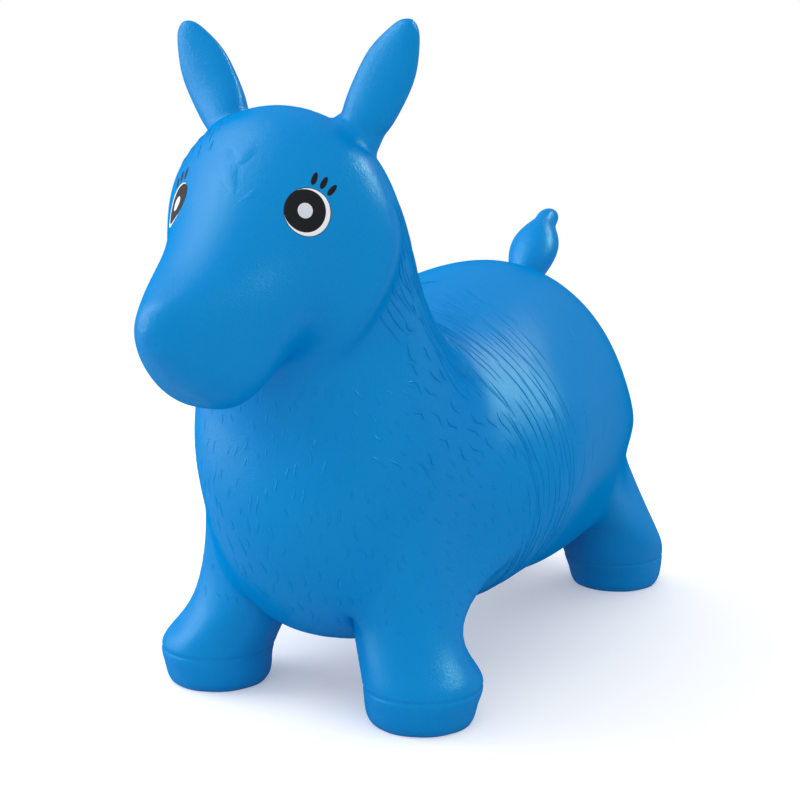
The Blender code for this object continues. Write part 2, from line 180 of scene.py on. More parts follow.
def link_object(name: str, bm: BMesh, material: bpy.types.Material | None = None) -> Piece:
    """Turn a bmesh into a smooth linked object and free the bmesh.

    Args:
        name: Name of the object and its mesh.
        bm: The mesh to take over.
        material: Finish of the whole piece, if it has one yet.

    Returns:
        The new object, at the origin.
    """
    bmesh.ops.recalc_face_normals(bm, faces=bm.faces)
    mesh = bpy.data.meshes.new(name)
    bm.to_mesh(mesh)
    bm.free()
    mesh.shade_smooth()
    obj = bpy.data.objects.new(name, mesh)
    bpy.context.scene.collection.objects.link(obj)
    if material:
        mesh.materials.append(material)
    return obj


def evaluated_mesh(obj: Piece) -> bpy.types.Mesh:
    """Return a new mesh of the object with its modifiers applied.

    Args:
        obj: The object.

    Returns:
        The mesh, which the caller removes.
    """
    bpy.context.view_layer.update()
    depsgraph = bpy.context.evaluated_depsgraph_get()
    return bpy.data.meshes.new_from_object(obj.evaluated_get(depsgraph))


@dataclass
class SmoothCage:
    """A control cage whose subdivided surface is drawn through the cage's own points."""

    bm: BMesh
    levels: int
    rounds: int = 8
    obj: Piece = field(init=False)

    def __post_init__(self) -> None:
        """Link the cage and move its points until the smooth surface meets their first places."""
        self.obj = link_object("cage", settled(self.bm))
        self.smooth = self.obj.modifiers.new("Smooth", "SUBSURF")
        self.set_levels(self.levels)
        targets = [vert.co.copy() for vert in self.obj.data.vertices]
        for _ in range(self.rounds):
            surface = evaluated_mesh(self.obj)
            for vert, target, now in zip(self.obj.data.vertices, targets, surface.vertices):
                vert.co += target - now.co
            bpy.data.meshes.remove(surface)

    def set_levels(self, levels: int) -> None:
        """Set how often the cage is subdivided."""
        self.smooth.levels = levels
        self.smooth.render_levels = levels

    def mesh(self, levels: int) -> BMesh:
        """Take the smooth surface from the cage.

        Args:
            levels: How often the cage is subdivided.

        Returns:
            The surface as a new bmesh.
        """
        self.set_levels(levels)
        surface = evaluated_mesh(self.obj)
        bm = bmesh.new()
        bm.from_mesh(surface)
        bpy.data.meshes.remove(surface)
        return bm

    def discard(self) -> None:
        """Remove the cage from the scene."""
        bpy.data.objects.remove(self.obj, do_unlink=True)


@dataclass(frozen=True)
class Surface:
    """The smooth skin as something that other pieces are laid on."""

    tree: BVHTree
    spots: tuple[Vector, ...]

    def nearest(self, point: Vector) -> tuple[Vector, Vector]:
        """Return the skin's point nearest to a point, and the skin's normal there."""
        spot, normal, _, _ = self.tree.find_nearest(point)
        return spot, normal

    def cast(self, start: Vector, way: Vector) -> tuple[Vector, Vector]:
        """Return where a ray meets the skin, and the skin's normal there."""
        spot, normal, _, _ = self.tree.ray_cast(start, way)
        return (spot, normal) if spot else self.nearest(start)


class Graph:
    """A node tree with short calls that add nodes and join them."""

    def __init__(self, tree: bpy.types.NodeTree) -> None:
        """Keep the tree that the calls work on."""
        self.tree = tree

    def feed(self, socket: Socket, value: object) -> None:
        """Join another node's socket to an input, or set the input to a plain value.

        Args:
            socket: The input.
            value: A socket to join, or a plain value.
        """
        if isinstance(value, Socket):
            self.tree.links.new(value, socket)
        else:
            socket.default_value = value

    def add(self, kind: str, settings: dict | None = None, *given: object, **named: object) -> bpy.types.Node:
        """Add a node.

        Args:
            kind: Blender's name of the node type.
            settings: Properties of the node itself.
            given: Values or sockets for its first inputs, in their order.
            named: Values or sockets for inputs by name, with underscores for spaces.

        Returns:
            The new node.
        """
        node = self.tree.nodes.new(kind)
        for key, value in (settings or {}).items():
            setattr(node, key, value)
        for place, value in enumerate(given):
            self.feed(node.inputs[place], value)
        for key, value in named.items():
            self.feed(node.inputs[key.replace("_", " ")], value)
        return node

    def blend_colour(self, share: Socket, first: Socket | Colour, second: Colour) -> Socket:
        """Blend two colours.

        Args:
            share: 0 for the first colour, 1 for the second.
            first: A colour, or the socket that gives it.
            second: A colour.

        Returns:
            The blended colour.
        """
        node = self.add("ShaderNodeMix", {"data_type": "RGBA"}, share)
        colours = [socket for socket in node.inputs if socket.type == "RGBA"]
        for socket, colour in zip(colours, (first, second)):
            self.feed(socket, colour if isinstance(colour, Socket) else (*colour, 1.0))
        return next(socket for socket in node.outputs if socket.type == "RGBA")

    def spread(self, value: Socket, low: float, high: float) -> Socket:
        """Return a value of 0 to 1 spread over another range."""
        return self.add("ShaderNodeMapRange", Value=value, To_Min=low, To_Max=high).outputs["Result"]


GRAIN_GROUP = "moulded_grain"


def grain_group() -> bpy.types.NodeTree:
    """Return the group of moulded grain, built once: pebbled skin, cloudy patches and pale flecks.

    Returns:
        The group, with inputs Vector, Pebble and Cloud and outputs Height, Patch and Fleck.
    """
    found = bpy.data.node_groups.get(GRAIN_GROUP)
    if found:
        return found
    tree = bpy.data.node_groups.new(GRAIN_GROUP, "ShaderNodeTree")
    tree.interface.new_socket("Vector", in_out="INPUT", socket_type="NodeSocketVector")
    for name in ("Pebble", "Cloud"):
        tree.interface.new_socket(name, in_out="INPUT", socket_type="NodeSocketFloat")
    for name in ("Height", "Patch", "Fleck"):
        tree.interface.new_socket(name, in_out="OUTPUT", socket_type="NodeSocketFloat")
    graph = Graph(tree)
    given = graph.add("NodeGroupInput").outputs
    pebble = graph.add(
        "ShaderNodeTexNoise", Vector=given["Vector"], Scale=given["Pebble"], Detail=3.0, Roughness=0.6
    ).outputs["Fac"]
    cloud = graph.add(
        "ShaderNodeTexNoise", Vector=given["Vector"], Scale=given["Cloud"], Detail=2.0, Roughness=0.5
    ).outputs["Fac"]
    fleck = graph.add("ShaderNodeMapRange", Value=pebble, From_Min=0.60, From_Max=0.74).outputs["Result"]
    graph.add("NodeGroupOutput", Height=pebble, Patch=cloud, Fleck=fleck)
    return tree


@dataclass(frozen=True)
class GrainFinish:
    """A satin moulded or printed finish with a fine grain.

    Its gloss fades by the power gloss_fall, from full_gloss to no_gloss of the turn away from the eye.
    """

    name: str
    deep: Colour
    light: Colour
    fleck: Colour
    smooth_roughness: float = 0.30
    dull_roughness: float = 0.40
    specular: float = 0.40
    pebble: float = 900.0
    cloud: float = 60.0
    relief: float = 0.05
    relief_depth: float = 0.0003
    gloss_tint: Colour = (1.0, 1.0, 1.0)
    gloss_fall: float = 0.0
    full_gloss: float = 0.1
    no_gloss: float = 0.95

    def material(self) -> bpy.types.Material:
        """Return the finish as a material, built once.

        Returns:
            The material.
        """
        found = bpy.data.materials.get(self.name)
        if found:
            return found
        material = bpy.data.materials.new(self.name)
        material.use_nodes = True
        graph = Graph(material.node_tree)
        place = graph.add("ShaderNodeTexCoord").outputs["Object"]
        grain = graph.add(
            "ShaderNodeGroup", {"node_tree": grain_group()}, Vector=place, Pebble=self.pebble, Cloud=self.cloud
        ).outputs
        patched = graph.blend_colour(grain["Patch"], self.deep, self.light)
        bump = graph.add(
            "ShaderNodeBump", Strength=self.relief, Distance=self.relief_depth, Height=grain["Height"]
        )
        looks = {
            "Base Color": graph.blend_colour(grain["Fleck"], patched, self.fleck),
            "Roughness": graph.spread(grain["Patch"], self.smooth_roughness, self.dull_roughness),
            "Normal": bump.outputs["Normal"],
            "Specular IOR Level": self.specular,
            "Specular Tint": (*self.gloss_tint, 1.0),
        }
        shader = material.node_tree.nodes["Principled BSDF"].inputs
        for name, value in looks.items():
            graph.feed(shader[name], value)
        if self.gloss_fall > 0:
            graph.feed(shader["Specular IOR Level"], self.fading_gloss(graph))
        return material

    def fading_gloss(self, graph: Graph) -> Socket:
        """Make the gloss fade where the surface turns away from the eye.

        Args:
            graph: The material's nodes.

        Returns:
            The strength of the gloss.
        """
        turned = graph.add("ShaderNodeLayerWeight", Blend=0.5).outputs["Facing"]
        kept = graph.add(
            "ShaderNodeMapRange", Value=turned,
            From_Min=self.full_gloss, From_Max=self.no_gloss, To_Min=1.0, To_Max=0.0,
        ).outputs["Result"]
        fall = graph.add("ShaderNodeMath", {"operation": "POWER"}, kept, self.gloss_fall)
        return graph.spread(fall.outputs["Value"], 0.0, self.specular)


VINYL = GrainFinish(
    name="blue_vinyl", deep=(0.0003, 0.212, 0.585), light=(0.0003, 0.242, 0.63), fleck=(0.001, 0.258, 0.655),
    smooth_roughness=0.20, dull_roughness=0.27, specular=0.32, pebble=850.0, cloud=9.0,
    relief=0.60, relief_depth=0.0005, gloss_tint=(0.24, 1.0, 0.80), gloss_fall=3.6,
)
BLACK_INK = GrainFinish(
    name="black_ink", deep=(0.004, 0.005, 0.007), light=(0.009, 0.010, 0.013), fleck=(0.018, 0.018, 0.022),
    dull_roughness=0.38, specular=0.12, gloss_fall=1.2,
)
WHITE_INK = GrainFinish(
    name="white_ink", deep=(0.78, 0.81, 0.85), light=(0.84, 0.86, 0.89), fleck=(0.88, 0.89, 0.91)
)
PALE_INK = GrainFinish(
    name="pale_ink", deep=(0.60, 0.65, 0.71), light=(0.66, 0.70, 0.76), fleck=(0.72, 0.75, 0.80)
)
PLUG_PLASTIC = GrainFinish(
    name="plug_plastic", deep=(0.70, 0.70, 0.67), light=(0.78, 0.78, 0.75), fleck=(0.82, 0.82, 0.80),
    smooth_roughness=0.36, dull_roughness=0.46, specular=0.45, cloud=80.0, relief=0.08,
)


def attach(piece: Piece, body: str, slot: str, node: str | None = None) -> None:
    """Let a piece move with a body and stand for a node if it has one.

    Args:
        piece: The finished piece.
        body: The body it moves with.
        slot: Its material slot, which is not used.
        node: The node it stands for, if there is one.
    """
    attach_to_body(piece, body)
    if node:
        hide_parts(node)


@dataclass(frozen=True)
class Section:
    """One section of the skin: its back and belly points (y, z), half width, fullness and middle.

    A section of fullness 2 is elliptical, and one of more is squarer. Its widest points lie at its
    middle (y, z), which is halfway between back and belly unless it is given.
    """

    back: Pair
    belly: Pair
    half_width: float
    fullness: float = 2.0
    middle: Pair | None = None


@dataclass(frozen=True)
class Leg:
    """A stub leg: the section it grows from, and rings of centre x, centre y, height and radius."""

    section: str
    rings: tuple[tuple[float, float, float, float], ...]


SECTIONS: dict[str, Section] = {
    "rump_end": Section((235, 196), (262, 84), 73),
    "hips": Section((211, 241), (235, 39), 94),
    "croup": Section((167, 274), (156, 28), 114),
    "loin": Section((110, 275), (77, 37), 130),
    "saddle": Section((47, 264), (10, 43), 139.5),
    "girth": Section((6, 256), (-38, 40), 128),
    "shoulders": Section((-17, 258), (-92, 39), 108),
    "breast": Section((-35, 278), (-148, 72), 96),
    "neck_base": Section((-53, 310), (-176, 135), 85),
    "neck": Section((-64, 341), (-172, 184), 78),
    "throat": Section((-83, 366), (-171, 211), 77, middle=(-123, 294)),
    "poll": Section((-110, 392), (-173, 227), 80.5, middle=(-133, 311)),
    "crown": Section((-152, 406), (-175, 239), 85, middle=(-152, 320)),
    "brow": Section((-185, 383), (-181, 245), 69, middle=(-175, 311)),
    "cheek": Section((-213, 347), (-192, 243), 54, middle=(-200, 293)),
    "nose_bridge": Section((-237, 322), (-212, 230), 46, 2.2),
    "muzzle": Section((-256, 308), (-233, 226), 35.5, 2.6),
    "nose": Section((-273, 298), (-260, 241), 24, 2.4),
    "nose_end": Section((-280.5, 291), (-273.5, 255), 16.5),
}
LEGS: dict[str, Leg] = {
    "front": Leg(
        "shoulders", ((67, -99, 60, 37), (82, -108, 31, 40.5), (83, -110, 12, 38), (83, -109, -3, 30))
    ),
    "rear": Leg("hips", ((73, 225, 58, 37), (71, 240, 32, 41.5), (71, 246, 12, 38.5), (71, 245, -3, 29.5))),
}


@dataclass
class MouldedSkin:
    """The seamless vinyl skin of body, neck, head, legs and hooves."""

    finish: GrainFinish
    columns: int = 16
    leg_column: int = 6
    rump_pole: Pair = (260, 148)
    nose_pole: Pair = (-285, 273)
    pole_reach: float = 14
    pole_rounds: int = 10
    skin_levels: int = 3
    laying_levels: int = 5
    hoof_ring_height: float = 25
    hoof_ring_reach: float = 2
    hoof_ring_depth: float = 0.7
    hoof_ring_band: float = 8
    pocket_radius: float = 13.4
    pocket_clearing: float = 19
    pocket_depth: float = 22
    pocket_sides: int = 32
    pocket_span: float = 1.3
    crease_angle: float = 48
    surface: Surface = field(init=False)

    def build(self) -> Piece:
        """Model the skin and keep its smooth surface for the pieces that lie on it.

        Returns:
            The skin's object.
        """
        cage = SmoothCage(self.cage(), self.skin_levels)
        fine = cage.mesh(self.laying_levels)
        self.surface = Surface(BVHTree.FromBMesh(fine), tuple(vert.co.copy() for vert in fine.verts))
        fine.free()
        bm = cage.mesh(self.skin_levels)
        cage.discard()
        self.soften_poles(bm)
        self.flatten_soles(bm)
        self.press_hoof_rings(bm)
        self.open_valve_pocket(bm)
        skin = link_object("skin", bm, self.finish.material())
        skin.data.set_sharp_from_angle(angle=radians(self.crease_angle))
        return skin

    def cage(self) -> BMesh:
        """Return the control cage of the body with its four legs.

        Returns:
            The cage as a new bmesh.
        """
        bm = bmesh.new()
        rings = {name: self.section_ring(bm, section) for name, section in SECTIONS.items()}
        order = list(rings.values())
        loft(bm, order)
        close_to_point(bm, order[0], millimetres(0, *self.rump_pole))
        close_to_point(bm, order[-1], millimetres(0, *self.nose_pole))
        for leg in LEGS.values():
            for side in Side:
                root, ways = self.leg_hole(rings, leg.section, side)
                self.grow_leg(bm, root, ways, leg, side)
        return bm

    def section_ring(self, bm: BMesh, section: Section) -> list[BMVert]:
        """Add one section, which runs from the back round the left side.

        Args:
            bm: The cage.
            section: The section's measures.

        Returns:
            The ring's vertices in order.
        """
        back = millimetres(0, *section.back)
        belly = millimetres(0, *section.belly)
        middle = millimetres(0, *section.middle) if section.middle else (back + belly) / 2
        verts = bmesh.ops.create_circle(bm, segments=self.columns, radius=1)["verts"]
        for vert in verts:
            powers = (abs(vert.co.x) ** section.fullness, abs(vert.co.y) ** section.fullness)
            across, up, _ = vert.co / sum(powers) ** (1 / section.fullness)
            way = back - middle if up > 0 else middle - belly
            vert.co = middle + way * up - millimetres(across * section.half_width, 0, 0)
        return verts

    def leg_hole(
        self, rings: dict[str, list[BMVert]], section: str, side: Side
    ) -> tuple[BMVert, dict[BMVert, Vector]]:
        """Find where a leg grows.

        Args:
            rings: The body's rings by name.
            section: The ring that the leg grows from.
            side: The side of the leg.

        Returns:
            The body's vertex at the leg's root, and the way each vertex around it lies from there.
        """
        order = list(rings.values())
        row = list(rings).index(section)
        column = self.leg_column if side is Side.LEFT else self.columns - self.leg_column
        ways = {}
        for rearward in (1, 0, -1):
            for outward in (1, 0, -1):
                vert = order[row - rearward][column - outward * side.value]
                ways[vert] = Vector((outward * side.value, rearward, 0)).normalized()
        return order[row][column], ways

    def grow_leg(self, bm: BMesh, root: BMVert, ways: dict[BMVert, Vector], leg: Leg, side: Side) -> None:
        """Open the skin at a leg's root and draw the rim of the hole out into a leg.

        Args:
            bm: The cage.
            root: The vertex that is opened.
            ways: The way each vertex around it lies from there.
            leg: The leg's measures.
            side: The side of the leg.
        """
        del ways[root]
        bmesh.ops.delete(bm, geom=[root], context="VERTS")
        for x, y, z, radius in leg.rings:
            centre = millimetres(x * side.value, y, z)
            drawn = {}
            for vert in draw_out(bm, list(ways)):
                ends = (edge.other_vert(vert) for edge in vert.link_edges)
                way = next(ways[end] for end in ends if end in ways)
                drawn[vert] = way
                vert.co = centre + way * radius * MM
            ways = drawn
        cap(bm, list(ways))

    def soften_poles(self, bm: BMesh) -> None:
        """Smooth the skin around the two points where all its columns meet.

        Args:
            bm: The skin's mesh.
        """
        for pole in (self.rump_pole, self.nose_pole):
            centre = millimetres(0, *pole)
            reach = self.pole_reach * MM
            near = [vert for vert in bm.verts if (vert.co - centre).length < reach]
            for _ in range(self.pole_rounds):
                bmesh.ops.smooth_vert(
                    bm, verts=near, factor=0.5, use_axis_x=True, use_axis_y=True, use_axis_z=True
                )

    def flatten_soles(self, bm: BMesh) -> None:
        """Cut the feet level with the floor and close their flat soles.

        Args:
            bm: The skin's mesh.
        """
        geom = [*bm.verts, *bm.edges, *bm.faces]
        bmesh.ops.bisect_plane(
            bm, geom=geom, dist=SAME_POINT, plane_co=(0, 0, 0), plane_no=(0, 0, -1), clear_outer=True
        )
        rim = [edge for edge in bm.edges if edge.is_boundary]
        bmesh.ops.holes_fill(bm, edges=rim)

    def press_hoof_rings(self, bm: BMesh) -> None:
        """Press the fine groove that parts each hoof from its leg.

        Args:
            bm: The skin's mesh.
        """
        middle = self.hoof_ring_height * MM
        reach = self.hoof_ring_reach * MM
        band = self.hoof_ring_band * MM
        for share in (-1.0, -0.5, 0.0, 0.5, 1.0):
            height = middle + share * reach
            faces = [face for face in bm.faces if min(abs(v.co.z - height) for v in face.verts) < band]
            edges = dict.fromkeys(edge for face in faces for edge in face.edges)
            verts = dict.fromkeys(vert for face in faces for vert in face.verts)
            bmesh.ops.bisect_plane(
                bm, geom=[*verts, *edges, *faces], dist=SAME_POINT, plane_co=(0, 0, height), plane_no=(0, 0, 1)
            )
        bm.normal_update()
        for vert in bm.verts:
            away = abs(vert.co.z - middle) / reach
            if away < 1:
                vert.co -= vert.normal * self.hoof_ring_depth * MM * (1 - away)

    def open_valve_pocket(self, bm: BMesh) -> None:
        """Open the round pocket in the belly that the valve's collar fills.

        Args:
            bm: The skin's mesh.
        """
        axis = millimetres(0, VALVE_Y, 0)
        low, _ = self.surface.cast(axis, UP)
        clearing = self.pocket_clearing * MM
        inside = [
            vert for vert in bm.verts
            if (vert.co - low).length < clearing * self.pocket_span and (vert.co - low).xy.length < clearing
        ]
        bmesh.ops.delete(bm, geom=inside, context="VERTS")
        rim = list(dict.fromkeys(vert for edge in bm.edges if edge.is_boundary for vert in edge.verts))
        place = Matrix.Translation(low)
        mouth = bmesh.ops.create_circle(
            bm, segments=self.pocket_sides, radius=self.pocket_radius * MM, matrix=place
        )["verts"]
        for vert in mouth:
            vert.co.z = self.surface.cast(Vector((vert.co.x, vert.co.y, 0)), UP)[0].z
        bridge(bm, rim, mouth)
        top = draw_out(bm, mouth)
        bmesh.ops.translate(bm, vec=millimetres(0, 0, self.pocket_depth), verts=top)
        cap(bm, top)

    def dress(self, skin: Piece) -> None:
        """Bake the skin's place and stand for the solids that it covers.

        Args:
            skin: The skin's object.
        """
        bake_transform(skin)
        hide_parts("trunk", "neck", "head")
        for leg in LEGS:
            for side in Side:
                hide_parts(f"leg_{leg}_{side.word}", f"hoof_{leg}_{side.word}")


@dataclass(frozen=True)
class LimbRing:
    """A ring of an ear or the tail, by its distance from the root, with a front that may be flatter."""

    distance: float
    half_width: float
    half_thickness: float
    bend: float = 0.0
    front: float = 1.0


@dataclass
class Limb:
    """An ear or the tail: a lofted form that grows out of the skin through a small fillet."""

    name: str
    pivot: Point
    axis: Point
    rings: tuple[LimbRing, ...]
    tip: Pair
    fillet: float
    bend_zone: float
    surface: Surface
    finish: GrainFinish
    face_fillet: float = 0.0
    columns: int = 24
    levels: int = 2
    fillet_steps: int = 5
    fillet_power: float = 2.6
    lift: float = 0.02
    tucks: tuple[Pair, ...] = ((2.0, 0.01), (3.5, 0.12), (4.8, 0.6), (5.8, 1.6), (6.2, 3.2))

    def frame(self) -> Matrix:
        """Return the limb's frame: X across it, Y through it and Z along it.

        Returns:
            The frame, with its origin at the pivot.
        """
        along = Vector(self.axis).normalized()
        through = along.cross(Vector((1, 0, 0))).normalized()
        frame = Matrix((through.cross(along), through, along)).transposed().to_4x4()
        frame.translation = millimetres(*self.pivot)
        return frame

    def build(self) -> Piece:
        """Loft the limb from its tip down to a rim that is laid on the skin.

        Returns:
            The limb's object.
        """
        bm = bmesh.new()
        loops = [self.ring(bm, ring) for ring in reversed(self.rings)]
        loops += self.root_loops(bm)
        loft(bm, loops)
        tip_distance, tip_bend = self.tip
        close_to_point(bm, loops[0], self.frame() @ millimetres(0, tip_bend, tip_distance))
        cap(bm, loops[-1])
        cage = SmoothCage(bm, self.levels)
        smooth = cage.mesh(self.levels)
        cage.discard()
        return link_object(self.name, smooth, self.finish.material())

    def ring(self, bm: BMesh, ring: LimbRing) -> list[BMVert]:
        """Add one section of the limb, with its front side as flat as the ring asks.

        Args:
            bm: The limb's cage.
            ring: The section's measures.

        Returns:
            The section's vertices in order.
        """
        place = Matrix.Translation(millimetres(0, ring.bend, ring.distance))
        stretch = Matrix.Diagonal((ring.half_width * MM, ring.half_thickness * MM, 1, 1))
        verts = bmesh.ops.create_circle(bm, segments=self.columns, radius=1, matrix=place @ stretch)["verts"]
        for vert in verts:
            through = vert.co.y - ring.bend * MM
            if through < 0:
                vert.co.y -= through * (1 - ring.front)
        bmesh.ops.transform(bm, matrix=self.frame(), verts=verts)
        return verts

    def root_loops(self, bm: BMesh) -> list[list[BMVert]]:
        """Add the fillet's loops, from the limb's lowest ring to a rim tucked into the skin.

        Args:
            bm: The limb's cage.

        Returns:
            The loops, from the top down.
        """
        lowest = self.rings[0]
        loops = []
        for step in range(1, self.fillet_steps + 1):
            share = step / self.fillet_steps
            loops.append([self.eased(vert, share) for vert in self.ring(bm, lowest)])
        for beyond, depth in self.tucks:
            hidden = self.ring(bm, lowest)
            for vert in hidden:
                spot, normal = self.skin_under(vert.co, 1.0, beyond)
                vert.co = spot - normal * depth * MM
            loops.append(hidden)
        return loops

    def skin_under(self, point: Vector, share: float, extra: float = 0.0) -> tuple[Vector, Vector]:
        """Find the skin under a point of the lowest ring, moved outwards.

        Args:
            point: The point.
            share: How much of the fillet it is moved outwards by.
            extra: How far it is moved beyond that, in millimetres.

        Returns:
            The skin's point and its normal.
        """
        local = self.frame().inverted() @ point
        flat = Vector((local.x, local.y, 0))
        way = flat.normalized()
        flat += way * ((self.fillet + self.face_fillet * way.y**2) * share + extra) * MM
        return self.surface.nearest(self.frame() @ flat)

    def eased(self, vert: BMVert, share: float) -> BMVert:
        """Move a copy of the lowest ring's vertex along the fillet's curve.

        Args:
            vert: The copy.
            share: How far along the curve it goes, from 0 at the limb to 1 at the skin.

        Returns:
            The same vertex.
        """
        foot, _ = self.skin_under(vert.co, 0.0)
        spot, normal = self.skin_under(vert.co, share)
        vert.co = spot + (vert.co - foot) * (1 - share) ** self.fillet_power + normal * self.lift * MM
        return vert

    def dress(self, limb: Piece) -> None:
        """Bake the limb's place and stand for its solid.

        Args:
            limb: The limb's object.
        """
        pivot = millimetres(*self.pivot)
        along = Vector(self.axis).normalized()
        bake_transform(limb)
        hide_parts(self.name)


EAR_RINGS = (
    LimbRing(9, 16.0, 12.9),
    LimbRing(17, 17.8, 12.6, 0, 0.85),
    LimbRing(33, 19, 12.2, 0, 0.64),
    LimbRing(51, 18, 10.5, 0, 0.62),
    LimbRing(66, 13, 8, 0, 0.72),
    LimbRing(75, 8.5, 5.2, 0, 0.90),
    LimbRing(79, 4.6, 3.2),
)
TAIL_RINGS = (
    LimbRing(9, 12.2, 11),
    LimbRing(20, 16.5, 13),
    LimbRing(36, 20.5, 14),
    LimbRing(50, 18.5, 13, 0.5),
    LimbRing(61, 12.5, 11, 2),
    LimbRing(68, 9.3, 9, 4),
    LimbRing(75, 8.6, 8.4, 6),
    LimbRing(81, 5.3, 5.3, 8),
)


def make_ear(side: Side, surface: Surface) -> Limb:
    """Return one ear, which is also a handle."""
    return Limb(
        name=f"ear_{side.word}", pivot=(47.5 * side.value, -130, 387.5), axis=(0.48 * side.value, 0.01, 0.877),
        rings=EAR_RINGS, tip=(81, 0), fillet=5.5, bend_zone=20, surface=surface, finish=VINYL, face_fillet=8.0,
    )


def make_tail(surface: Surface) -> Limb:
    """Return the tail."""
    return Limb(
        name="tail", pivot=(0, 203.5, 248), axis=(0, 0.62, 0.78), rings=TAIL_RINGS, tip=(83, 9),
        fillet=6.0, bend_zone=18, surface=surface, finish=VINYL,
    )


@dataclass(frozen=True)
class StrokeStyle:
    """How a kind of hair stroke looks.

    Its spacing is the gap beside it and its stagger the gap ahead of it. Length, width and height are
    its own size, sway is how far it swings and stray how far it turns from the coat's flow.
    """

    spacing: float
    stagger: float
    length: float
    width: float
    height: float
    sway: float
    stray: float


class Coat(Enum):
    """The zones of the moulded coat."""

    TEMPLE = StrokeStyle(spacing=4.0, stagger=20, length=19, width=2.2, height=0.34, sway=0.12, stray=0.08)
    MANE = StrokeStyle(spacing=3.8, stagger=36, length=42, width=1.6, height=0.70, sway=0.10, stray=0.05)
    FLANK = StrokeStyle(spacing=4.3, stagger=48, length=60, width=1.3, height=0.52, sway=0.05, stray=0.03)
    SHOULDER = StrokeStyle(spacing=8.5, stagger=19, length=19, width=1.6, height=0.82, sway=0.60, stray=0.18)
    CHEST = StrokeStyle(spacing=6.5, stagger=17, length=17, width=1.9, height=0.10, sway=0.38, stray=0.14)
    BARREL = StrokeStyle(spacing=15.0, stagger=46, length=46, width=1.2, height=0.10, sway=0.10, stray=0.05)


